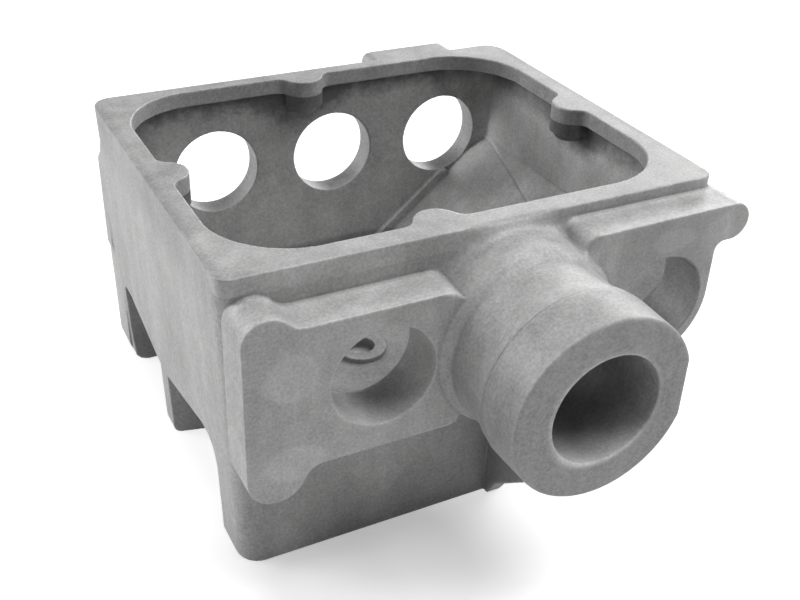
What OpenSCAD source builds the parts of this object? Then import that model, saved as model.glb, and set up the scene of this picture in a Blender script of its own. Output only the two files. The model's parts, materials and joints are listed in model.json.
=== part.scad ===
// Gearbox case: one cast housing, open at the top, with three shaft lines from front to back.
// Frame: millimetres, X to the right along the front, Y to the back, Z up.
// The origin is on the ground, under the middle of the whole part's outer size.

/* [Case body] */
// length of the case along X, at the top
case_l = 200; // [180:1:220]
// width of the case along Y
case_w = 164.4; // [150:0.2:180]
// height of the case, feet to cover face
case_h = 124.5; // [115:0.5:135]
// how far each end wall leans in from the top to the feet
end_draft = 4; // [0:0.5:5]
// radius of the outer upright corners
corner_r = 9; // [5:0.5:11]
// radius of the two front corners at the rim
rim_corner_r = 5; // [3:0.5:8]
// thickness of the front and back walls
side_wall = 5.2; // [4:0.1:6]
// thickness of the end walls under the rim
end_wall = 5; // [4:0.1:6]
// radius of the chamber's upright corners
chamber_r = 8; // [5:0.5:14]

/* [Cover rim] */
// thickness of the rim that carries the cover
rim_t = 7; // [5:0.5:9]
// width of the rim along the ends
rim_end = 8.5; // [7:0.5:10]
// width of the rim along the front
rim_front = 9.7; // [8:0.1:11]
// width of the rim along the back
rim_back = 6.4; // [5.5:0.1:9]
// radius of the opening's corners
opening_r = 32; // [25:1:40]
// radius of the four bolt lobes in the rim
lobe_r = 9; // [7:0.5:10]
// fillet where a lobe meets the rim
lobe_fillet = 6; // [3:0.5:8]
// depth of the lobes' bosses under the cover face
lobe_depth = 13; // [10:1:20]
// depth of the rounded-off end of each lobe's boss
lobe_taper = 3; // [2:0.5:5]
// place of the front lobe along X
lobe_front_x = -16; // [-25:1:-8]
// place of the back lobe along X
lobe_back_x = -5.5; // [-12:0.5:4]
// place of the end lobes along Y
lobe_end_y = 1.5; // [-5:0.5:8]

/* [Shaft lines] */
// height of the three shaft lines above the feet
shaft_z = 83.5; // [80:0.5:86]
// place of the middle shaft line along X
shaft_x = 10.1; // [6:0.1:13]
// distance between neighbouring shaft lines
shaft_pitch = 58; // [55:0.5:59]
// diameter of the bearing bores in the pads and the back wall
bearing_d = 39.4; // [34:0.2:42]
// diameter of the bore in the long boss
boss_bore_d = 42.6; // [38:0.2:46]

/* [Long boss] */
// length of the long boss from the front wall
boss_len = 62.8; // [50:0.2:75]
// outer diameter of the boss's end face
boss_d = 70.4; // [66:0.2:74]
// how far the outside of the boss lies to the left of its bore
boss_shift = 0.8; // [0:0.1:1]
// length of the collar
collar_len = 19.5; // [15:0.5:24]
// how much wider the collar is at its back edge, on the radius
collar_draft = 0.6; // [0:0.1:1]
// height of the fine step behind the collar
collar_step = 0.5; // [0.3:0.1:1.5]
// how much slimmer the neck is than the collar, on the radius
neck_in = 2.4; // [1:0.1:3]
// how far the flat on the collar cuts into it
collar_flat = 2.4; // [0:0.1:4]
// reach of the fillet where the boss meets the wall
boss_fillet = 4; // [1:0.5:4]
// how much wider the boss is between the pads than its neck, on the radius
root_out = 3.2; // [2:0.1:4]
// length of the slope from the pads' faces to the neck
root_len = 4; // [2:0.5:8]
// width of the web under the boss
web_t = 6.6; // [5:0.2:10]
// how far the web lies to the right of the boss's bore
web_off = 0.3; // [-1:0.1:2]
// length of the web's foot in front of the wall
web_foot = 2.4; // [1:0.2:6]
// rise of the steep part behind the web's foot
web_knee = 9; // [4:1:14]
// lean of the steep part, forwards per height
web_lean = 0.63; // [0.3:0.01:1]
// distance of the web's tip from the boss's end
web_back = 6; // [4:0.5:20]

/* [Front pads] */
// how far the front pads stand off the front wall
pad_h = 15.8; // [10:0.2:20]
// height of the left pad's straight top edge
left_top = 111; // [108:0.5:114]
// height of the left pad's straight bottom edge
left_bottom = 53.8; // [50:0.2:58]
// radius of the left pad's upper lobe
left_lobe_r = 9.3; // [7:0.1:11]
// rise of the upper left lobe past the pad's straight edge
left_lobe_rise = 6; // [3:0.5:7]
// radius of the left pad's lower lobe
left_low_r = 10.8; // [8:0.1:12]
// drop of the lower left lobe past the pad's straight edge
left_lobe_drop = 12; // [8:0.5:14]
// radius in the corners between the left lobes and the pad's straight edges
lobe_cove_r = 8; // [3:0.5:9]
// height of the right pad's top edge
right_top = 119.7; // [117:0.1:122]
// width of the right pad past its shaft line
right_half = 23.7; // [22:0.1:28]
// radius of the ear at the right pad's upper end
ear_r = 7.5; // [6:0.1:9]
// reach of the ear past the case's end
ear_reach = 6; // [3:0.5:9]
// drop of the right pad's bottom under its shaft line
right_drop = 27; // [24:0.5:30]
// distance of the left pad's straight right edge from the middle shaft line
left_gap = 27.3; // [22:0.5:32]
// distance of the right pad's straight left edge from the middle shaft line
right_gap = 21.2; // [16:0.5:26]

/* [Back pads] */
// how far the pads on the back wall stand off
back_pad_h = 6; // [4:0.5:9]
// radius of metal round each bore in the back wall
back_boss_r = 27; // [24:0.5:28]
// width of the rib down the back wall's left end
back_rib_w = 18; // [12:1:22]
// height at which the back rib joins the pads
back_low = 50; // [40:1:60]
// how far the rib's foot stands out past the end wall at the ground
back_foot_out = 1; // [0.5:0.1:1.5]
// height of the upper end of the back rib
back_high = 99; // [92:1:106]
// how far the raised block stands off the back wall
block_h = 11.3; // [8:0.1:13]
// length of the raised block, flush with the cover face
block_l = 45; // [40:1:50]
// distance of the raised block's middle from the third shaft line
block_off = 13.1; // [10:0.2:16]

/* [Chamber] */
// height of the chamber's floor
floor_z = 33; // [30:0.5:36]
// thickness of the floor and its slopes
floor_t = 6.5; // [5:0.5:8]
// half length of the flat part of the floor
floor_half = 40; // [36:1:44]
// height at which the slopes meet the end walls
slope_z = 78.4; // [74:0.2:78.8]
// width of the bead on the back wall along the right slope
bead_w = 5; // [3:0.5:7]
// height of the bead on the back wall
bead_h = 2.2; // [1:0.1:3]
// length of the bead
bead_len = 50; // [40:1:54]
// outer radius of the drain boss
drain_r = 11; // [8:0.5:13]
// height of the drain boss above the floor
drain_h = 3; // [1:0.5:5]
// radius of the blind drain hole
drain_hole_r = 6; // [4:0.5:7]
// depth of the drain hole
drain_hole_h = 6; // [3:0.5:7]
// place of the drain boss along X and Y
drain_at = [-17, -14];

/* [Feet] */
// width of the corner feet in from the end walls
foot_w = 12.3; // [10:0.1:16]
// length of the front feet along Y
foot_front = 24; // [20:0.5:30]
// length of the back feet along Y
foot_back = 14; // [10:0.2:18]
// how far the back feet run forward at the ground
foot_flare = 4; // [1:0.5:5]
// height of the flared end of the back feet
foot_flare_h = 14; // [8:1:20]
// place of the middle feet's front face along Y, at the end wall
foot_mid_y = 6.2; // [0:0.2:12]
// length of the middle feet along Y
foot_mid = 9.5; // [7:0.5:12]
// width of the middle feet
foot_mid_w = 13.5; // [11:0.5:16]
// how far the middle feet's front face runs forward on its inner side
foot_skew = 4; // [0:0.5:6]
// height of the arches beside the corner feet
arch_top = 40.5; // [36:0.5:44]
// height of the arches beside the middle feet
arch_low = 29; // [24:0.5:32]
// radius of the arches' corners at the front feet
arch_r = 11; // [6:0.5:14]
// radius of the arches' other corners
arch_small_r = 4; // [2:0.5:6]
// height of the hollow under the chamber's slopes
pocket_top = 54; // [46:1:58]

/* [Finish] */
// chamfer on the boss's end and other small steps
chamfer = 0.8; // [0.4:0.1:1.2]
// how far the pads' outer edges lie in from the case's end
edge_in = 1.5; // [1:0.1:3]
// casting radius of the pads' outlines
cast_r = 4; // [2:0.5:5]
// casting radius of the left pad's upper corner
corner_cast_r = 8; // [5:0.5:9]

/* [Hidden] */
$fn = 64;
eps = 0.05;
over = 2;
front_y = -case_w / 2;
back_y = case_w / 2;
left_x = -case_l / 2;
right_x = case_l / 2;
rim_z = case_h - rim_t;
first_x = shaft_x - shaft_pitch;
third_x = shaft_x + shaft_pitch;
ear_x = right_x + ear_reach - ear_r;
boss_y = front_y - boss_len;
back_max = back_y + block_h;
boss_r = boss_d / 2;
collar_r = boss_r + collar_draft;
neck_r = collar_r - neck_in;
root_r = neck_r + root_out;
web_x = shaft_x + web_off;
open_x = case_l / 2 - rim_end;
open_front = front_y + rim_front;
open_back = back_y - rim_back;
chamber_front = front_y + side_wall;
chamber_back = back_y - side_wall;
chamber_half = case_l / 2 - end_wall;
slope_half = chamber_half - end_draft * (case_h - slope_z) / case_h;
slope_run = slope_half - floor_half;
slope_rise = slope_z - floor_z;
slope_len = sqrt(slope_run * slope_run + slope_rise * slope_rise);
// how far the underside of the slope lies out from the slope, along X
under_out = floor_t * (slope_len - slope_run) / slope_rise;
pocket_half = case_l / 2 - end_draft - foot_w;
mid_half = case_l / 2 - end_draft - foot_mid_w;
pocket_z = floor_z - floor_t;
// the ground point under the middle of the outer size
mid_x = (left_x + ear_x + ear_r) / 2;
mid_y = (boss_y + back_max) / 2;

// a plate drawn in X and Z, standing from y0 to y1
module upright(y0, y1) {
    translate([0, y1, 0])
        rotate([90, 0, 0])
            linear_extrude(y1 - y0)
                children();
}

// a plate drawn in Y and Z, running from x0 to x1
module endways(x0, x1) {
    translate([x0, 0, 0])
        rotate([90, 0, 90])
            linear_extrude(x1 - x0)
                children();
}

// outlines with outer and inner corners rounded
module cast_outline(outer, inner) {
    offset(r = -inner)
        offset(r = inner + outer)
            offset(r = -outer)
                children();
}

// a rectangle in X and Y about the origin, with corners of radius r
module round_plate_2d(half_x, half_y, r) {
    offset(r = r)
        square([2 * (half_x - r), 2 * (half_y - r)], center = true);
}

// a long block whose one end is the end wall on one side, leaning in towards the feet
module leaning_block(side, r) {
    translate([side * case_l / 2, 0, case_h])
        rotate([0, side * atan2(end_draft, case_h), 0])
            translate([-side * case_l, 0, -1.5 * case_h])
                linear_extrude(2 * case_h)
                    round_plate_2d(case_l, case_w / 2, r);
}

// outer body, its end walls leaning in towards the feet
module body() {
    intersection() {
        leaning_block(-1, corner_r);
        leaning_block(1, corner_r);
        linear_extrude(case_h)
            square([case_l + over, case_w + over], center = true);
    }
    // the rim's front corners are tighter
    intersection() {
        leaning_block(-1, rim_corner_r);
        leaning_block(1, rim_corner_r);
        translate([left_x - over, front_y - over, rim_z])
            cube([case_l + 2 * over, rim_front, rim_t]);
    }
}

// centres of the four bolt lobes on the edge of the opening
module at_lobes() {
    translate([lobe_front_x, open_front])
        children();
    translate([lobe_back_x, open_back])
        children();
    for (sx = [-1, 1])
        translate([sx * open_x, lobe_end_y])
            children();
}

// outline of the opening in the cover face
module opening_2d() {
    open_w = open_back - open_front;
    offset(r = lobe_fillet)
        offset(r = -lobe_fillet)
            difference() {
                translate([0, (open_front + open_back) / 2])
                    round_plate_2d(open_x, open_w / 2, opening_r);
                at_lobes()
                    circle(r = lobe_r);
            }
}

// chamber in plan, under the rim
module chamber_plan() {
    translate([0, (chamber_front + chamber_back) / 2])
        round_plate_2d(chamber_half, (chamber_back - chamber_front) / 2, chamber_r);
}

// chamber seen from the front
module chamber_front_2d() {
    polygon([
        [-chamber_half, case_h], [-slope_half, slope_z], [-floor_half, floor_z],
        [floor_half, floor_z], [slope_half, slope_z], [chamber_half, case_h]
    ]);
}

// the four lobes' bosses under the rim
module lobe_bosses() {
    boss_z = case_h - lobe_depth;
    translate([0, 0, boss_z])
        linear_extrude(lobe_depth)
            difference() {
                at_lobes()
                    square(2 * lobe_r, center = true);
                opening_2d();
            }
    translate([0, 0, boss_z - lobe_taper])
        at_lobes()
            cylinder(h = lobe_taper + eps, r1 = lobe_r - lobe_taper, r2 = lobe_r - chamfer);
}

// raised line on the back wall along the right slope
module bead() {
    upright(chamber_back - bead_h, chamber_back + eps)
        translate([floor_half, floor_z])
            rotate(atan2(slope_rise, slope_run))
                translate([-bead_w, -bead_w / 2])
                    square([bead_len, bead_w * 1.5]);
}

// everything taken out of the body from above
module chamber() {
    difference() {
        intersection() {
            translate([0, 0, floor_z - over])
                linear_extrude(rim_z - floor_z + over)
                    chamber_plan();
            upright(front_y, back_y)
                chamber_front_2d();
        }
        lobe_bosses();
        bead();
        translate([drain_at[0], drain_at[1], floor_z - over])
            cylinder(h = drain_h + over, r = drain_r);
    }
    translate([0, 0, rim_z - eps])
        linear_extrude(rim_t + 1)
            opening_2d();
    translate([drain_at[0], drain_at[1], floor_z + drain_h - drain_hole_h])
        cylinder(h = drain_hole_h + eps, r = drain_hole_r);
}

// hollow under the chamber, seen from the front
module pocket_2d() {
    top_x = floor_half + under_out + slope_run * (pocket_top - pocket_z) / slope_rise;
    polygon([
        [-pocket_half, -1], [-pocket_half, pocket_top], [-top_x, pocket_top],
        [-floor_half - under_out, pocket_z], [floor_half + under_out, pocket_z],
        [top_x, pocket_top], [pocket_half, pocket_top], [pocket_half, -1]
    ]);
}

// arches through the end walls, seen from the end
module arches_2d() {
    mid_y = foot_mid_y + foot_mid / 2;
    corner_front = front_y + foot_front;
    corner_back = back_y - foot_back;
    down = -3 * arch_r;
    offset(r = arch_r)
        offset(r = -arch_r)
            polygon([
                [corner_front, down], [corner_front, arch_top], [corner_front + 1.4 * arch_r, arch_top],
                [mid_y, arch_low], [mid_y + arch_r, arch_low - arch_r], [mid_y + arch_r, down]
            ]);
    offset(r = arch_small_r)
        offset(r = -arch_small_r)
            polygon([
                [mid_y - arch_r, down], [mid_y - arch_r, arch_low - arch_r], [mid_y, arch_low],
                [corner_back - arch_r, arch_top], [corner_back, arch_top], [corner_back, foot_flare_h],
                [corner_back - foot_flare, 0], [corner_back - foot_flare, down]
            ]);
}

// the two feet in the middle of the end walls
module mid_feet() {
    intersection() {
        linear_extrude(arch_top)
            for (sx = [-1, 1])
                polygon([
                    [sx * case_l / 2, foot_mid_y], [sx * mid_half, foot_mid_y - foot_skew],
                    [sx * mid_half, foot_mid_y + foot_mid], [sx * case_l / 2, foot_mid_y + foot_mid]
                ]);
        body();
    }
}

module pocket() {
    upright(front_y + foot_front, back_y - foot_back)
        pocket_2d();
    upright(chamber_front, chamber_back)
        intersection() {
            pocket_2d();
            translate([-pocket_half, -1])
                square([2 * pocket_half, pocket_z + 1]);
        }
    for (x0 = [left_x - over, pocket_half - eps])
        endways(x0, x0 + right_x - pocket_half + over + eps)
            arches_2d();
}

// outline of the left front pad
module left_pad_2d() {
    pad_x = left_x + edge_in;
    lobe_x = pad_x + left_lobe_r;
    low_z = left_bottom - left_lobe_drop + left_low_r;
    right_edge = shaft_x - left_gap;
    cast_outline(cast_r, lobe_cove_r) {
        translate([pad_x, left_bottom])
            square([right_edge - pad_x, left_top - left_bottom - corner_cast_r]);
        translate([pad_x, left_bottom])
            square([right_edge - corner_cast_r - pad_x, left_top - left_bottom]);
        translate([right_edge - corner_cast_r, left_top - corner_cast_r])
            circle(r = corner_cast_r);
        translate([lobe_x, left_top + left_lobe_rise - left_lobe_r])
            circle(r = left_lobe_r);
        translate([pad_x + left_low_r, low_z])
            circle(r = left_low_r);
        translate([pad_x, low_z])
            square([2 * left_low_r, left_lobe_drop]);
    }
}

// outline of the right front pad with its ear
module right_pad_2d() {
    ear_z = right_top - ear_r;
    left_edge = shaft_x + right_gap;
    cast_outline(cast_r, cast_r) {
        translate([left_edge, ear_z - ear_r])
            square([ear_x - left_edge, 2 * ear_r]);
        translate([ear_x, ear_z])
            circle(r = ear_r);
        translate([left_edge, shaft_z - right_drop])
            square([third_x - left_edge, right_top - shaft_z + right_drop]);
        translate([third_x, shaft_z])
            square([right_half, ear_z - shaft_z]);
        intersection() {
            translate([third_x + right_half - right_drop, shaft_z])
                circle(r = right_drop);
            translate([third_x - over, shaft_z - right_drop])
                square([right_half + over, right_drop + over]);
        }
    }
}

// long boss about its own axis, from inside the wall outwards
module boss_profile_2d() {
    ring_s = boss_len - collar_len;
    ring_r = collar_r - collar_step;
    polygon([
        [0, -side_wall / 2], [root_r + boss_fillet, -side_wall / 2], [root_r + boss_fillet, 0],
        [root_r + boss_fillet / 3, boss_fillet / 3], [root_r, boss_fillet],
        [root_r, pad_h], [neck_r, pad_h + root_len], [neck_r, ring_s - 4 * neck_in],
        [ring_r, ring_s - neck_in], [ring_r, ring_s], [collar_r, ring_s + collar_step],
        [boss_r, boss_len - chamfer], [boss_r - chamfer, boss_len], [0, boss_len]
    ]);
}

module long_boss() {
    difference() {
        translate([shaft_x - boss_shift, front_y, shaft_z])
            rotate([90, 0, 0])
                rotate_extrude($fn = 96)
                    boss_profile_2d();
        // the flat on the collar
        translate([shaft_x - boss_shift + boss_r - collar_flat, boss_y - over, shaft_z - boss_d])
            cube([boss_d, collar_len + over, 2 * boss_d]);
    }
}

// web that carries the boss down to the ground line
module web() {
    knee_y = front_y - web_foot - web_knee * web_lean;
    endways(web_x - web_t / 2, web_x + web_t / 2)
        polygon([
            [front_y + side_wall / 2, 0], [front_y - web_foot, 0], [knee_y, web_knee],
            [boss_y + web_back, shaft_z - neck_r], [boss_y + web_back, shaft_z - bearing_d / 2 - neck_in],
            [front_y + side_wall / 2, shaft_z - bearing_d / 2 - neck_in]
        ]);
}

// plates round the bores in the back wall
module back_pads() {
    rib_x = left_x + edge_in;
    root_y = back_y - side_wall / 2;
    rib_top = back_low + cast_r;
    block_z = shaft_z + bearing_d / 2 + cast_r;
    upright(root_y, back_y + back_pad_h)
        cast_outline(cast_r, cast_r) {
            for (x = [first_x, shaft_x, third_x])
                translate([x, shaft_z])
                    circle(r = back_boss_r);
            translate([first_x, shaft_z - back_boss_r / 2])
                square([2 * shaft_pitch, back_boss_r]);
            translate([rib_x, back_low])
                square([first_x - rib_x, back_high - back_low]);
        }
    // the rib runs down into the foot below the pads
    upright(back_y - corner_r - over, back_y + back_pad_h)
        polygon([
            [left_x + end_draft - back_foot_out, 0], [left_x + end_draft * (1 - rib_top / case_h), rib_top],
            [rib_x + back_rib_w, rib_top], [rib_x + back_rib_w, 0]
        ]);
    upright(root_y, back_max)
        cast_outline(cast_r, cast_r)
            translate([third_x - block_off - block_l / 2, block_z])
                square([block_l, case_h - block_z]);
}

// bores of one shaft line, front and back
module shaft_line(x, front_d, front_out) {
    translate([x, chamber_front + over, shaft_z])
        rotate([90, 0, 0])
            cylinder(h = side_wall + front_out + 2 * over, d = front_d);
    translate([x, back_max + over, shaft_z])
        rotate([90, 0, 0])
            cylinder(h = back_max - chamber_back + bead_h + 2 * over, d = bearing_d);
}

module case() {
    color([0.55, 0.55, 0.55])
        translate([-mid_x, -mid_y, 0])
            difference() {
                union() {
                    difference() {
                        body();
                        chamber();
                        pocket();
                    }
                    mid_feet();
                    upright(front_y - pad_h, front_y + side_wall / 2) {
                        left_pad_2d();
                        right_pad_2d();
                    }
                    long_boss();
                    web();
                    back_pads();
                }
                shaft_line(first_x, bearing_d, pad_h);
                shaft_line(shaft_x, boss_bore_d, boss_len);
                shaft_line(third_x, bearing_d, pad_h);
            }
}

case();
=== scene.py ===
"""The looks of the gearbox case: a raw grey casting on a white studio floor.

Metres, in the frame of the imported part: +X to the right along the front, +Y to the back, +Z up.
Lengths that are given in millimetres are turned into metres with MM where they are used.
"""

import json
import math

import bmesh
import bpy
import numpy as np
from mathutils import Matrix, Vector


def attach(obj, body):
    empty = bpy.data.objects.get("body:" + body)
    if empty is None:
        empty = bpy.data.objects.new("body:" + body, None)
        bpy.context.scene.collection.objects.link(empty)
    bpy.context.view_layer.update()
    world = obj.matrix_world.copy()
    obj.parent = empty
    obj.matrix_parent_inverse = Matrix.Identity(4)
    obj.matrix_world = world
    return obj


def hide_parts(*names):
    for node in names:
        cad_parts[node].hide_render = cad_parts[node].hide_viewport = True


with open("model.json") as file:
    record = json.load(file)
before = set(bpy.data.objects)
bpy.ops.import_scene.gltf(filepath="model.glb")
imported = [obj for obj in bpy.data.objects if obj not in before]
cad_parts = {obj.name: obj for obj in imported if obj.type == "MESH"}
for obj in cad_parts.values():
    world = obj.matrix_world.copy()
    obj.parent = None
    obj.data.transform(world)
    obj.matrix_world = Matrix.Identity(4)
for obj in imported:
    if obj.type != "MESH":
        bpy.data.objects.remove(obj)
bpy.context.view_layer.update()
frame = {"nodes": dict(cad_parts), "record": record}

MM = 0.001

# the camera, as it stood for the photograph
PHOTO_WIDTH_PX = 800
FOCAL_PX = 1093.4
SENSOR_MM = 36.0
CAMERA_AT = Vector((-0.18919, -0.33961, 0.30147))
CAMERA_AZIMUTH = math.radians(-28.094)
CAMERA_ELEVATION = math.radians(31.862)
CAMERA_ROLL = math.radians(-2.2596)
CLIP_NEAR, CLIP_FAR = 0.01, 50

# the lamps: name, azimuth from +X towards +Y and elevation in degrees, strength
LAMP_WIDTH = math.radians(25)
LAMPS = [
    ("back_right", 45, 10, 0.5),
    ("back_left", 138, 14, 0.36),
    ("front_high", 330, 58, 0.38),
    ("top", 0, 90, 0.27),
    ("right", 0, 32, 0.27),
    ("left", 150, 32, 0.19),
    ("left_high", 210, 58, 0.08),
]

FLOOR_SIZE = 6.0
FLOOR_TONE = 0.62
# how much brighter the camera sees the floor than it is lit, in the shadow before the skirt and away from it,
# and that shadow's middle and reach in millimetres
SHADOW_LIFT, OPEN_LIFT = 0.4, 0.75
SHADOW_X, SHADOW_Y = -55, -80
SHADOW_REACH = (35, 75)

# the casting's mesh
TRIANGLES = 195000
VOXEL = 0.5 * MM
WELD = 0.01 * MM
EDGE_PASSES = 1
ROUND_PASSES = 12
FILLET_PASSES = 60
# edges are where a normal differs this much from the mean of its neighbours; then how wide they are kept out
SHARP = 0.02
SHARP_RINGS = 2
SOFT_PASSES = 3

# the round walls: what counts as one ring, the turn of a chord that is cut finer, and into how many
TOUCH = 0.002 * MM
LEAST_TURN = math.radians(2)
MOST_TURN = math.radians(20)
ROUND_CUTS = 6

# the long boss, in millimetres: its reach from its middle line, and how far its outside lies left of its bore
BOSS_REACH = 45
BOSS_SHIFT = 0.8
WALL_Y = -56.45
# the deep fillet at its root, as starts and ends: from its middle line, from the wall, and above its middle
ROOT_IN, ROOT_OUT = (30, 34), (46, 41)
ROOT_ALONG, ROOT_WALL = (28, 20), (-2, 0)
ROOT_UP = (24, 30)

# the marks of outer edges and inner corners: the bend that counts in full, and their spread in passes
BEND_SCALE = 0.06 * MM
EDGE_SPREAD = 2
CORNER_SPREAD = 4

# the part's own origin in the frame; what follows is in the part's own millimetres
PART_X, PART_Y = -3.0, 25.75
LOBES = ((-16, -72.5), (-5.5, 75.8), (-91.5, 1.5), (91.5, 1.5))
# the fill behind the left end wall: an outline at each height
CORNER_FILL = (
    (50, ((-87, 72), (-87, 84), (-97.8, 84), (-97.6, 72))),
    (97, ((-87, 72), (-87, 84), (-98.5, 84), (-99.1, 72))),
    (119, ((-87, 72), (-87, 80), (-96.8, 80), (-99.7, 72))),
)
# the chamber's right slope, and the low step on it: its outline, and its lower and upper side off the slope
SLOPE_X, SLOPE_Z, SLOPE_RISE = 40, 33, 0.848
STEP_PLAN = ((93.2, 76.8), (93.2, 67), (65.6, -76.8), (93.2, -76.8))
STEP_SIDES = (-2, 1.5)
# the rounding of the feet: the end, the outer face at the ground, the radius, and from front to back
FOOT_EDGES = ((-1, 96, 3, -10, 28), (-1, 97, 6, 60, 96), (1, 96, 3, -10, 28), (1, 96, 6, 60, 96))
FOOT_CUTS = 8
CLEAR_SIDE, CLEAR_BELOW = 3, -1


# mesh tools
def new_object(name, mesh):
    obj = bpy.data.objects.new(name, mesh)
    bpy.context.scene.collection.objects.link(obj)
    return obj


def apply_modifier(obj, kind, **settings):
    """obj's mesh with one modifier applied."""
    mod = obj.modifiers.new(kind.title(), kind)
    for key, value in settings.items():
        setattr(mod, key, value)
    graph = bpy.context.evaluated_depsgraph_get()
    mesh = bpy.data.meshes.new_from_object(obj.evaluated_get(graph))
    obj.modifiers.clear()
    old, obj.data = obj.data, mesh
    bpy.data.meshes.remove(old)


def points_of(mesh):
    points = np.empty(len(mesh.vertices) * 3)
    mesh.vertices.foreach_get("co", points)
    return points.reshape(-1, 3)


def normals_of(mesh):
    normals = np.empty(len(mesh.vertices) * 3)
    mesh.vertex_normals.foreach_get("vector", normals)
    return normals.reshape(-1, 3)


def set_points(mesh, points):
    mesh.vertices.foreach_set("co", points.ravel())
    mesh.update()


class Neighbours:
    """Averages over the vertices that share an edge."""

    def __init__(self, mesh):
        edges = np.empty(len(mesh.edges) * 2, np.int64)
        mesh.edges.foreach_get("vertices", edges)
        self.a, self.b = edges.reshape(-1, 2).T
        self.size = len(mesh.vertices)
        self.count = np.bincount(self.a, minlength=self.size) + np.bincount(self.b, minlength=self.size)

    def mean(self, values):
        if values.ndim == 1:
            total = np.bincount(self.a, values[self.b], self.size)
            total += np.bincount(self.b, values[self.a], self.size)
            return total / self.count
        return np.stack([self.mean(column) for column in values.T], axis=1)

    def blur(self, values, passes, weight=None):
        for _ in range(passes):
            step = 0.5 * (self.mean(values) - values)
            if weight is not None:
                step = step * (weight[:, None] if values.ndim == 2 else weight)
            values = values + step
        return values


def near(around, flags, rings):
    """One on the flagged vertices and on the rings of neighbours round them, then fading out."""
    wide = around.blur(flags.astype(float), rings) > 0.5 ** (rings + 1)
    return around.blur(wide.astype(float), SOFT_PASSES)


def fade(values, span):
    """Zero at the span's start, one at its end, and smooth between them; the span is in millimetres."""
    start, end = span[0] * MM, span[1] * MM
    share = np.clip((values - start) / (end - start), 0, 1)
    return share * share * (3 - 2 * share)


# the forms that the solids leave out
def loft(rings):
    """A closed block through rings of points, given in the part's own millimetres."""
    count = len(rings[0])
    points = [((x + PART_X) * MM, (y + PART_Y) * MM, z * MM) for ring in rings for x, y, z in ring]
    faces = [tuple(reversed(range(count))), tuple(range(len(points) - count, len(points)))]
    for start in range(0, len(points) - count, count):
        for k in range(count):
            low, after = start + k, start + (k + 1) % count
            faces.append((low, after, after + count, low + count))
    mesh = bpy.data.meshes.new("loft")
    mesh.from_pydata(points, [], faces)
    bm = bmesh.new()
    bm.from_mesh(mesh)
    bmesh.ops.recalc_face_normals(bm, faces=bm.faces)
    bm.to_mesh(mesh)
    bm.free()
    return new_object("loft", mesh)


def carve(obj, tool, operation):
    apply_modifier(obj, "BOOLEAN", object=tool, operation=operation, solver="EXACT")
    bpy.data.objects.remove(tool)


def corner_fill():
    """The left end wall runs on into the plate behind it, with no groove at the corner."""
    return loft([[(x, y, height) for x, y in plan] for height, plan in CORNER_FILL])


def slope_step():
    """A low step slants across the right slope of the chamber."""
    slope = [(x, y, SLOPE_Z + (x - SLOPE_X) * SLOPE_RISE) for x, y in STEP_PLAN]
    return loft([[(x, y, z + off) for x, y, z in slope] for off in STEP_SIDES])


def foot_edge(side, outer_x, radius, front, back):
    """What comes off a foot's lower outer edge to round it."""
    turns = [k * math.pi / 2 / FOOT_CUTS for k in range(FOOT_CUTS + 1)]
    section = [(outer_x + CLEAR_SIDE, radius)]
    section += [(outer_x - radius * (1 - math.cos(a)), radius * (1 - math.sin(a))) for a in turns]
    section += [(outer_x - radius, CLEAR_BELOW), (outer_x + CLEAR_SIDE, CLEAR_BELOW)]
    return loft([[(side * x, y, z) for x, z in section] for y in (front, back)])


# the casting
def mount(name):
    return next(m for m in frame["record"]["mounts"] if m["name"] == name)


def bores():
    return [m["pos_m"] for m in frame["record"]["mounts"] if m["kind"] == "bore"]


def round_lines():
    """X and Z of the round walls' middle lines: each bore's, and that of the long boss's outside."""
    x, _, z = mount("boss_bore")["pos_m"]
    return sorted({(at[0], at[2]) for at in bores()} | {(x - BOSS_SHIFT * MM, z)})


def turn_on_ring(edge, x, z):
    """The radius, start and turn of an edge that is a chord of a round wall about (x, z), or None."""
    last, first = edge.verts
    a, b = last.co, first.co
    radius = math.hypot(a.x - x, a.z - z)
    same_ring = abs(a.y - b.y) < TOUCH and abs(radius - math.hypot(b.x - x, b.z - z)) < TOUCH
    if not same_ring or radius > BOSS_REACH * MM:
        return None
    start = math.atan2(a.z - z, a.x - x)
    turn = (math.atan2(b.z - z, b.x - x) - start + math.pi) % math.tau - math.pi
    return (radius, start, turn) if LEAST_TURN < abs(turn) < MOST_TURN else None


def true_rounds(mesh):
    """The chords of the round walls cut finer, each new point out on the true circle."""
    bm = bmesh.new()
    bm.from_mesh(mesh)
    for x, z in round_lines():
        for edge in list(bm.edges):
            arc = turn_on_ring(edge, x, z)
            if arc is None:
                continue
            radius, start, turn = arc
            last, first = edge.verts
            y = last.co.y
            for k in range(ROUND_CUTS - 1, 0, -1):
                part, point = bmesh.utils.edge_split(edge, first, 0.5)
                angle = start + turn * k / ROUND_CUTS
                point.co = (x + radius * math.cos(angle), y, z + radius * math.sin(angle))
                edge = edge if last in edge.verts else part
                first = point
    bmesh.ops.triangulate(bm, faces=bm.faces)
    bm.to_mesh(mesh)
    bm.free()


def cast_forms(obj):
    carve(obj, corner_fill(), "UNION")
    carve(obj, slope_step(), "UNION")
    for edge in FOOT_EDGES:
        carve(obj, foot_edge(*edge), "DIFFERENCE")


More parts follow.
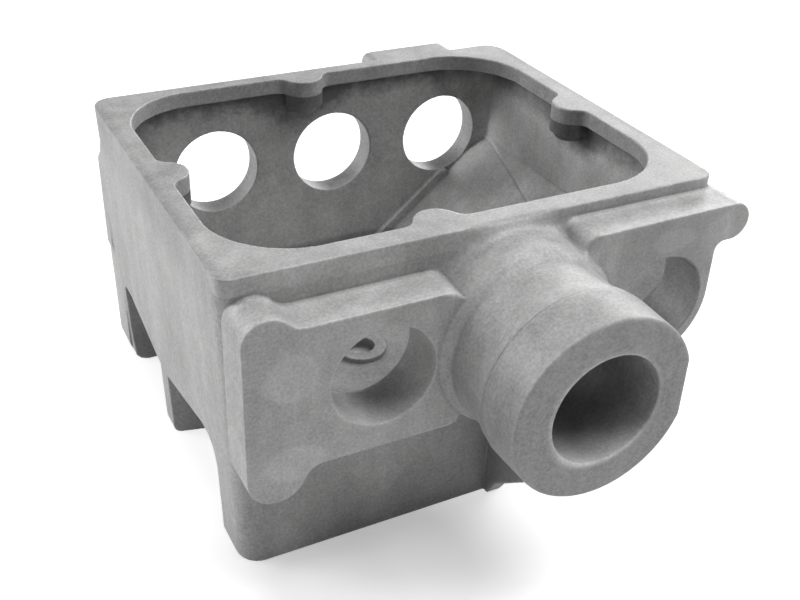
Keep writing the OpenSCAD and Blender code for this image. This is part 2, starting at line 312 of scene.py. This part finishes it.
def fine_mesh(obj):
    """An even fine mesh on the same form, its edges barely softened; returns its neighbours and points."""
    true_form = new_object("true_form", obj.data.copy())
    apply_modifier(obj, "REMESH", mode="VOXEL", voxel_size=VOXEL, adaptivity=0.0)
    around = Neighbours(obj.data)
    set_points(obj.data, around.blur(points_of(obj.data), EDGE_PASSES))
    apply_modifier(obj, "SHRINKWRAP", target=true_form, wrap_method="NEAREST_SURFACEPOINT")
    bpy.data.objects.remove(true_form)
    points = around.blur(points_of(obj.data), EDGE_PASSES)
    set_points(obj.data, points)
    return around, points


def boss_root(points):
    """One where the long boss's upper side meets the front wall, fading out round it."""
    middle_x, _, middle_z = mount("boss_bore")["pos_m"]
    x, y, z = (points - np.array((middle_x, WALL_Y * MM, middle_z))).T
    radius = np.hypot(x + BOSS_SHIFT * MM, z)
    around = fade(radius, ROOT_IN) * fade(radius, ROOT_OUT)
    along = fade(-y, ROOT_ALONG) * fade(-y, ROOT_WALL)
    return around * along * fade(z, ROOT_UP)


def mark_edges(mesh, around, points):
    """Where the outer edges and the inner corners lie, for the material's painted highlights and painted
    shade.
    """
    bend = ((points - around.mean(points)) * normals_of(mesh)).sum(axis=1) / BEND_SCALE
    edge = around.blur(np.clip(bend, 0, 1), EDGE_SPREAD)
    corner = around.blur(np.clip(-bend, 0, 1), CORNER_SPREAD)
    for name, values in (("edge", edge), ("corner", corner)):
        layer = mesh.attributes.new(name, "FLOAT", "POINT")
        layer.data.foreach_set("value", values)


def casting(node):
    """The cast body: the CAD shape with the soft edges and fillets that a sand mould leaves."""
    obj = new_object("casting", node.data.copy())
    apply_modifier(obj, "WELD", merge_threshold=WELD)
    true_rounds(obj.data)
    cast_forms(obj)
    around, points = fine_mesh(obj)
    mesh = obj.data

    # the facets that are left in the round walls, away from every edge
    normals = normals_of(mesh)
    turn = 1 - (around.mean(normals) * normals).sum(axis=1)
    smooth = 1 - near(around, turn > SHARP, SHARP_RINGS)
    points = around.blur(points, ROUND_PASSES, np.clip(smooth, 0, 1))

    # the deep fillet where the long boss grows out of the wall, between the pads
    points = around.blur(points, FILLET_PASSES, boss_root(points))
    set_points(mesh, points)

    mark_edges(mesh, around, points)
    apply_modifier(obj, "DECIMATE", ratio=min(1.0, TRIANGLES / (len(mesh.polygons) * 2)))
    obj.data.polygons.foreach_set("use_smooth", [True] * len(obj.data.polygons))
    apply_modifier(obj, "WEIGHTED_NORMAL", mode="FACE_AREA", weight=100, keep_sharp=False)
    obj.data.update()
    return obj


# materials
METAL_TONE = 0.48
WARMTH = 0.995
METALLIC = 0.1
ROUGH, ROUGH_SWING = 0.55, 0.05
BUMP_STRENGTH, BUMP_DEPTH = 0.4, 0.3 * MM
MOTTLED_BUMP, GRAIN_BUMP = 0.6, 0.4

# each noise's scale, detail and roughness, and the streaks' stretch along Z
CLOUDY_NOISE = (26, 3, 0.55)
STREAK_NOISE = (65, 3, 0.6)
PATCH_NOISE = (34, 1, 0.4)
MOTTLED_NOISE = (170, 3, 0.6)
GRAIN_NOISE = (900, 2, 0.65)
STRETCH = (1, 1, 0.2)
# how much each one changes the tone
CLOUDY, STREAKS, PATCHES, MOTTLED, GRAIN = 0.035, 0.055, 0.03, 0.045, 0.09
PATCH_EDGE = (0.5, 0.56)

# what is added to the tone: painted highlights on the outer edges, along the pads' tops, at the bottom of the
# long boss's bore mouth and on the rim's front, and paler spots
EDGE_HIGHLIGHT = 0.12
PALE_SPOT = 0.09
STRIPE_HIGHLIGHT = 0.07
LIP_HIGHLIGHT = 0.16
RIM_FRONT_LIGHT = 0.07
# what the tone is multiplied by, with painted shade in the bores, on the opening's left-facing edges, on the
# right pad's face, on the chamber floor, under the rim, in the inner corners and in the recesses
COLLAR_AND_COVER = 0.88
END_FACE = 0.8
LEFT_BORE, RIGHT_BORE, BACK_BORE = 1.0, 0.68, 0.66
INNER_EDGE_SHADE = 0.7
RIGHT_PAD_SHADE = 0.8
CHAMBER_FLOOR_SHADE = 0.68
WALL_BAND = 0.88
RIM_SHADE = 0.36
LINE_DIRT = (0.15, 0.35)
CORNER_SHADE = 0.75
RECESS_SHADE = 0.3
RECESS_REACH = 60 * MM
RECESS_SAMPLES = 6
# the mark and the openness at which the painted shade in a corner and in a recess is full
CORNER_FULL, RECESS_FULL = 0.5, 0.5
# the painted highlight on the edges comes in patches: the range of the noise, and the share of the paleness
# that it leaves
HIGHLIGHT_RANGE, HIGHLIGHT_SHARE = (0.3, 0.6), (0.5, 1.0)
# the range that a noise mostly keeps to
NOISE_RANGE = (0.3, 0.7)
# which way a normal points, by its X and by its Z
FACING_LEFT, FACING_UP = (-0.2, -0.6), (0.6, 0.8)

# places in millimetres: the fine step behind the collar, the middle of the pads' tops, the lower end of the
# painted shade under the rim and how much lower it is at the lobes, and how uneven the shade and the band on
# the walls end
COLLAR_Y = -99.75
PAD_TOP_Y = -64.35
SHADE_END = 109
LOBE_SHADE = 10
SHADE_SWING, BAND_SWING = 2, 3

# the masks' spans in millimetres: a mask is zero at the first end and one at the second
LINE_WIDTH, LINE_RADIUS = (0.6, 0.25), (30, 32)
COLLAR_FRONT, COLLAR_RADIUS = (COLLAR_Y, COLLAR_Y - 1), (23, 24)
END_Y, END_RADIUS = (-118.0, -118.6), (22, 22.5)
COVER_Z, BELOW_COVER, BELOW_RIM = (123.6, 124.1), (124.0, 123.5), (117.8, 117.2)
BORE_RADIUS, BORE_WALL = (20.6, 20.0), (75, 76)
BORE_SIDES, BORE_DEPTH = (-30, 40), (0, 50)
CHAMBER_X, CHAMBER_Y = (95.5, 95), (78, 77)
LOBE_REACH, SHADE_RISE = (10, 26), (0, 9)
INNER_EDGE_Z = (105, 110)
FLOOR_TOP, FLOOR_UNDER = (38, 36), (31, 32)
END_WALL_X, BAND_Z = (96, 98), (103, 112)
FACE_BEHIND, FACE_BEFORE = (-71.4, -71.9), (-74, -73)
RIGHT_PAD_START, RIGHT_PAD_END = (40, 44), (92, 78)
PAD_TOP_Z, OFF_BOSS = (90, 95), (40, 44)
STRIPE_IN, STRIPE_OUT = (2.5, 5.5), (8.5, 8)
LIP_Y, LIP_Z, LIP_RADIUS = (-75, -112), (74, 64), (23.5, 22.5)
RIM_Z, RIM_BEHIND, RIM_BEFORE = (116.6, 117.6), (-52, -54), (-60, -58)

# paler spots on the front pads: x and z of the middle, half width and half height, in millimetres
SPOTS = ((-84.7, 92.4, 9, 9), (-84, 57, 12, 8), (67.6, 110.5, 10, 4.5), (96, 107, 14, 12))
# where a spot begins and is full, counted in its own half sizes, and how uneven that is
SPOT_EDGE, SPOT_SWING = (1.1, 0.85), 0.15


class Nodes:
    """A short hand for building a node material."""

    def __init__(self, name):
        self.material = bpy.data.materials.new(name)
        self.material.use_nodes = True
        self.tree = self.material.node_tree
        self.shader = self.tree.nodes["Principled BSDF"]
        self.output = self.tree.nodes["Material Output"]
        self.place = self.add("ShaderNodeTexCoord").outputs["Object"]
        self.x, self.y, self.z = self.add("ShaderNodeSeparateXYZ", {0: self.place}).outputs

    def add(self, kind, inputs=None, **settings):
        node = self.tree.nodes.new(kind)
        for key, value in settings.items():
            setattr(node, key, value)
        for key, value in (inputs or {}).items():
            self.set(node.inputs[key], value)
        return node

    def set(self, socket, value):
        if isinstance(value, bpy.types.NodeSocket):
            self.tree.links.new(value, socket)
        else:
            socket.default_value = value

    def noise(self, settings, at=None):
        scale, detail, rough = settings
        inputs = {"Scale": scale, "Detail": detail, "Roughness": rough, "Vector": at or self.place}
        return self.add("ShaderNodeTexNoise", inputs).outputs["Fac"]

    def maths(self, operation, a, b=0.0):
        return self.add("ShaderNodeMath", {0: a, 1: b}, operation=operation).outputs[0]

    def plus(self, first, *others):
        for value in others:
            first = self.maths("ADD", first, value)
        return first

    def times(self, first, *others):
        for value in others:
            first = self.maths("MULTIPLY", first, value)
        return first

    def ramp(self, value, low, high, to_low=0.0, to_high=1.0):
        inputs = {"Value": value, "From Min": low, "From Max": high, "To Min": to_low, "To Max": to_high}
        return self.add("ShaderNodeMapRange", inputs).outputs[0]

    def vary(self, noise, low, high):
        """The middle range of a noise, spread from low to high."""
        return self.ramp(noise, *NOISE_RANGE, low, high)

    def span(self, value, ends):
        """Zero at the first end and one at the second, both in millimetres."""
        return self.ramp(value, ends[0] * MM, ends[1] * MM)

    def mix(self, mask, at_zero, at_one):
        return self.ramp(mask, 0.0, 1.0, at_zero, at_one)

    def darker(self, mask, left):
        """A factor that is one outside the mask and `left` inside it."""
        return self.mix(mask, 1.0, left)

    def off(self, value, middle):
        """How far a coordinate lies to both sides of a plane, given in millimetres."""
        return self.maths("ABSOLUTE", self.maths("SUBTRACT", value, middle * MM))

    def away(self, *sides):
        """The distance from a line: each side is a coordinate and the line's own in millimetres."""
        offs = [self.maths("SUBTRACT", value, middle * MM) for value, middle in sides]
        return self.maths("SQRT", self.plus(*[self.maths("POWER", off, 2.0) for off in offs]))

    def facing(self, axis):
        normal = self.add("ShaderNodeNewGeometry").outputs["Normal"]
        return self.add("ShaderNodeSeparateXYZ", {0: normal}).outputs[axis]

    def edge_mark(self, name):
        return self.add("ShaderNodeAttribute", attribute_name=name).outputs["Fac"]


def boss_radius(n):
    """The distance from the middle line of the long boss's outside."""
    x, _, z = mount("boss_bore")["pos_m"]
    return n.away((n.x, x / MM - BOSS_SHIFT), (n.z, z / MM))


def collar_line(n, radius, mottled):
    """The dirt in the fine step behind the long boss's collar, on its outside only."""
    line = n.times(n.span(n.off(n.y, COLLAR_Y), LINE_WIDTH), n.span(radius, LINE_RADIUS))
    return n.maths("SUBTRACT", 1.0, n.times(line, n.vary(mottled, *LINE_DIRT)))


def collar_and_cover_darker(n, radius):
    """The collar with its end face, and the cover face on top, are a little darker."""
    collar = n.times(n.span(n.y, COLLAR_FRONT), n.span(radius, COLLAR_RADIUS))
    cover = n.span(n.z, COVER_Z)
    end = n.times(n.span(n.y, END_Y), n.span(radius, END_RADIUS))
    return n.times(n.darker(n.maths("MAXIMUM", collar, cover), COLLAR_AND_COVER), n.darker(end, END_FACE))


def in_bore(n):
    """Painted shade: the bores through the walls are darker inside."""
    left, middle, right = [n.off(n.x, x / MM) for x in sorted({at[0] for at in bores()})]
    nearest = n.maths("MINIMUM", n.maths("MINIMUM", left, middle), right)
    radius = n.away((nearest, 0), (n.z, mount("boss_bore")["pos_m"][2] / MM))
    in_wall = n.span(n.off(n.y, PART_Y), BORE_WALL)
    front = n.mix(n.span(n.x, BORE_SIDES), LEFT_BORE, RIGHT_BORE)
    kept = n.mix(n.span(n.y, BORE_DEPTH), front, BACK_BORE)
    return n.darker(n.times(n.span(radius, BORE_RADIUS), in_wall), kept)


def chamber(n):
    """One inside the chamber and its opening."""
    return n.times(n.span(n.off(n.y, PART_Y), CHAMBER_Y), n.span(n.off(n.x, PART_X), CHAMBER_X))


def below_cover(n):
    return n.span(n.z, BELOW_COVER)


def shade_under_rim(n, inside, mottled):
    """Painted shade in the undercut below the rim, reaching lower round the lobes."""
    low = SHADE_END * MM
    for x, y in LOBES:
        off_lobe = n.away((n.x, x + PART_X), (n.y, y + PART_Y))
        low = n.maths("SUBTRACT", low, n.mix(n.span(off_lobe, LOBE_REACH), LOBE_SHADE * MM, 0.0))
    rise = n.maths("SUBTRACT", n.z, n.plus(low, n.vary(mottled, -SHADE_SWING * MM, SHADE_SWING * MM)))
    return n.darker(n.times(n.span(rise, SHADE_RISE), n.span(n.z, BELOW_RIM), inside), RIM_SHADE)


def inner_edge_shade(n, inside):
    """Painted shade: the opening's edge and the lobes, where they face left, are darker."""
    facing_left = n.ramp(n.facing("X"), *FACING_LEFT)
    return n.darker(n.times(facing_left, below_cover(n), n.span(n.z, INNER_EDGE_Z), inside), INNER_EDGE_SHADE)


# painted shade: the floor of the chamber is darker
def chamber_floor_shade(n, inside):
    return n.darker(n.times(n.span(n.z, FLOOR_TOP), n.span(n.z, FLOOR_UNDER), inside), CHAMBER_FLOOR_SHADE)


def wall_band(n, cloudy):
    """A soft darker band along the top of the end walls' outsides."""
    height = n.plus(n.z, n.vary(cloudy, -BAND_SWING * MM, BAND_SWING * MM))
    return n.darker(n.times(n.span(n.off(n.x, PART_X), END_WALL_X), n.span(height, BAND_Z)), WALL_BAND)


def pad_face(n):
    """One on the front pads' faces."""
    return n.times(n.span(n.y, FACE_BEHIND), n.span(n.y, FACE_BEFORE))


def spot(n, place, cloudy):
    """A paler spot on a front pad's face, with an uneven edge."""
    x, z, half_width, half_height = place
    across = n.maths("DIVIDE", n.maths("SUBTRACT", n.x, x * MM), half_width * MM)
    up = n.maths("DIVIDE", n.maths("SUBTRACT", n.z, z * MM), half_height * MM)
    away = n.plus(n.away((across, 0), (up, 0)), n.vary(cloudy, -SPOT_SWING, SPOT_SWING))
    return n.times(n.ramp(away, *SPOT_EDGE), pad_face(n))


def right_pad_shade(n):
    """Painted shade: the right pad's face is darker than the left one's."""
    return n.darker(n.times(pad_face(n), n.span(n.x, RIGHT_PAD_START), n.span(n.x, RIGHT_PAD_END)), RIGHT_PAD_SHADE)


def pad_stripe_highlights(n, radius):
    """Painted highlights: paler stripes along both edges of the front pads' tops."""
    off = n.off(n.y, PAD_TOP_Y)
    on_top = n.times(n.span(n.z, PAD_TOP_Z), n.span(radius, OFF_BOSS), n.ramp(n.facing("Z"), *FACING_UP))
    return n.times(n.span(off, STRIPE_IN), n.span(off, STRIPE_OUT), on_top)


def lip_highlight(n, radius):
    """A painted highlight: the long boss's bore is paler at the bottom of its mouth."""
    return n.times(n.span(n.y, LIP_Y), n.span(n.z, LIP_Z), n.span(radius, LIP_RADIUS))


def rim_front_light(n):
    """Painted light: the rim's front face is a little paler than the wall below it."""
    return n.times(n.span(n.z, RIM_Z), below_cover(n), n.span(n.y, RIM_BEHIND), n.span(n.y, RIM_BEFORE))


def cast_metal():
    """Raw grey casting: grain, mottling and streaks down the walls, with painted highlights on the edges and
    painted shade in the inner corners and recesses.
    """
    n = Nodes("cast_metal")
    stretched = n.add("ShaderNodeMapping", {"Vector": n.place, "Scale": STRETCH}).outputs["Vector"]
    cloudy, mottled, grain = n.noise(CLOUDY_NOISE), n.noise(MOTTLED_NOISE), n.noise(GRAIN_NOISE)
    streaks, patches = n.noise(STREAK_NOISE, stretched), n.noise(PATCH_NOISE)
    radius, inside = boss_radius(n), chamber(n)

    # painted highlight on the outer edges, broken into patches by a noise
    edge_highlight = n.times(n.edge_mark("edge"), n.ramp(mottled, *HIGHLIGHT_RANGE, *HIGHLIGHT_SHARE))
    tone = n.plus(
        METAL_TONE, n.vary(cloudy, -CLOUDY, CLOUDY), n.vary(streaks, -STREAKS, STREAKS),
        n.ramp(patches, *PATCH_EDGE, 0.0, PATCHES),
        n.vary(mottled, -MOTTLED, MOTTLED), n.vary(grain, -GRAIN, GRAIN),
        n.times(edge_highlight, EDGE_HIGHLIGHT), n.times(pad_stripe_highlights(n, radius), STRIPE_HIGHLIGHT),
        n.times(lip_highlight(n, radius), LIP_HIGHLIGHT), n.times(rim_front_light(n), RIM_FRONT_LIGHT),
        *[n.times(spot(n, place, cloudy), PALE_SPOT) for place in SPOTS],
    )
    # painted shade in recesses: darker where less of the surroundings is open
    openness = n.add("ShaderNodeAmbientOcclusion", {"Distance": RECESS_REACH}, samples=RECESS_SAMPLES)
    value = n.times(
        tone, collar_line(n, radius, mottled), collar_and_cover_darker(n, radius), in_bore(n),
        shade_under_rim(n, inside, mottled), inner_edge_shade(n, inside), chamber_floor_shade(n, inside),
        right_pad_shade(n), wall_band(n, cloudy),
        # painted shade in the inner corners
        n.ramp(n.edge_mark("corner"), 0.0, CORNER_FULL, 1.0, CORNER_SHADE),
        n.ramp(openness.outputs["AO"], 0.0, RECESS_FULL, RECESS_SHADE, 1.0),
    )
    colour = n.add("ShaderNodeCombineColor", {"Red": value, "Green": value, "Blue": n.times(value, WARMTH)})
    n.set(n.shader.inputs["Base Color"], colour.outputs["Color"])
    n.set(n.shader.inputs["Roughness"], n.vary(mottled, ROUGH - ROUGH_SWING, ROUGH + ROUGH_SWING))
    n.set(n.shader.inputs["Metallic"], METALLIC)
    height = n.plus(n.times(mottled, MOTTLED_BUMP), n.times(grain, GRAIN_BUMP))
    bump = n.add("ShaderNodeBump", {"Strength": BUMP_STRENGTH, "Distance": BUMP_DEPTH, "Height": height})
    n.set(n.shader.inputs["Normal"], bump.outputs["Normal"])
    return n.material


def floor_white():
    """White floor that keeps the object's shadow; the camera and mirrors see it brighter than it is lit."""
    n = Nodes("floor_white")
    n.set(n.shader.inputs["Base Color"], (FLOOR_TONE, FLOOR_TONE, FLOOR_TONE, 1))
    n.set(n.shader.inputs["Roughness"], 1.0)
    n.set(n.shader.inputs["Specular IOR Level"], 0.0)
    rays = n.add("ShaderNodeLightPath").outputs
    seen = n.maths("MAXIMUM", rays["Is Camera Ray"], rays["Is Glossy Ray"])
    seen = n.maths("MAXIMUM", seen, rays["Is Transmission Ray"])
    off_shadow = n.span(n.away((n.x, SHADOW_X), (n.y, SHADOW_Y)), SHADOW_REACH)
    strength = n.times(seen, n.mix(off_shadow, SHADOW_LIFT, OPEN_LIFT))
    lift = n.add("ShaderNodeEmission", {"Color": (1, 1, 1, 1), "Strength": strength})
    added = n.add("ShaderNodeAddShader", {0: n.shader.outputs[0], 1: lift.outputs[0]})
    n.set(n.output.inputs["Surface"], added.outputs[0])
    return n.material


# the studio
def camera():
    data = bpy.data.cameras.new("camera")
    data.sensor_width = SENSOR_MM
    data.lens = FOCAL_PX * SENSOR_MM / PHOTO_WIDTH_PX
    data.clip_start, data.clip_end = CLIP_NEAR, CLIP_FAR
    obj = new_object("camera", data)
    az, el = CAMERA_AZIMUTH, CAMERA_ELEVATION
    forward = Vector((-math.sin(az) * math.cos(el), math.cos(az) * math.cos(el), -math.sin(el)))
    right = forward.cross(Vector((0, 0, 1))).normalized()
    down = forward.cross(right)
    c, s = math.cos(CAMERA_ROLL), math.sin(CAMERA_ROLL)
    right, down = c * right + s * down, c * down - s * right
    turn = Matrix((right, -down, -forward)).transposed()
    obj.matrix_world = Matrix.Translation(CAMERA_AT) @ turn.to_4x4()
    bpy.context.scene.camera = obj


def soft_sun(name, azimuth, elevation, strength):
    """A wide far lamp; a strength of one lights a white surface that faces it to white."""
    data = bpy.data.lights.new(name, "SUN")
    data.angle = LAMP_WIDTH
    data.energy = strength * math.pi
    obj = new_object(name, data)
    flat = math.cos(elevation)
    towards = Vector((flat * math.cos(azimuth), flat * math.sin(azimuth), math.sin(elevation)))
    obj.rotation_mode = "QUATERNION"
    obj.rotation_quaternion = towards.to_track_quat("Z", "Y")


def white_backdrop():
    """The world is white to the camera and gives no light."""
    world = bpy.data.worlds.new("studio")
    world.use_nodes = True
    bpy.context.scene.world = world
    tree = world.node_tree
    sky = tree.nodes["Background"]
    sky.inputs["Color"].default_value = (1, 1, 1, 1)
    rays = tree.nodes.new("ShaderNodeLightPath").outputs
    tree.links.new(rays["Is Camera Ray"], sky.inputs["Strength"])


def floor():
    half = FLOOR_SIZE / 2
    mesh = bpy.data.meshes.new("floor")
    corners = [(-half, -half, 0), (half, -half, 0), (half, half, 0), (-half, half, 0)]
    mesh.from_pydata(corners, [], [(0, 1, 2, 3)])
    ground = new_object("floor", mesh)
    ground.data.materials.append(floor_white())


def studio():
    bpy.context.scene.view_settings.view_transform = "Standard"
    white_backdrop()
    floor()
    for name, azimuth, elevation, strength in LAMPS:
        soft_sun(name, math.radians(azimuth), math.radians(elevation), strength)


camera()
studio()
body = casting(frame["nodes"]["case"])
body.data.materials.clear()
body.data.materials.append(cast_metal())
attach(body, "root")
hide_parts("case")
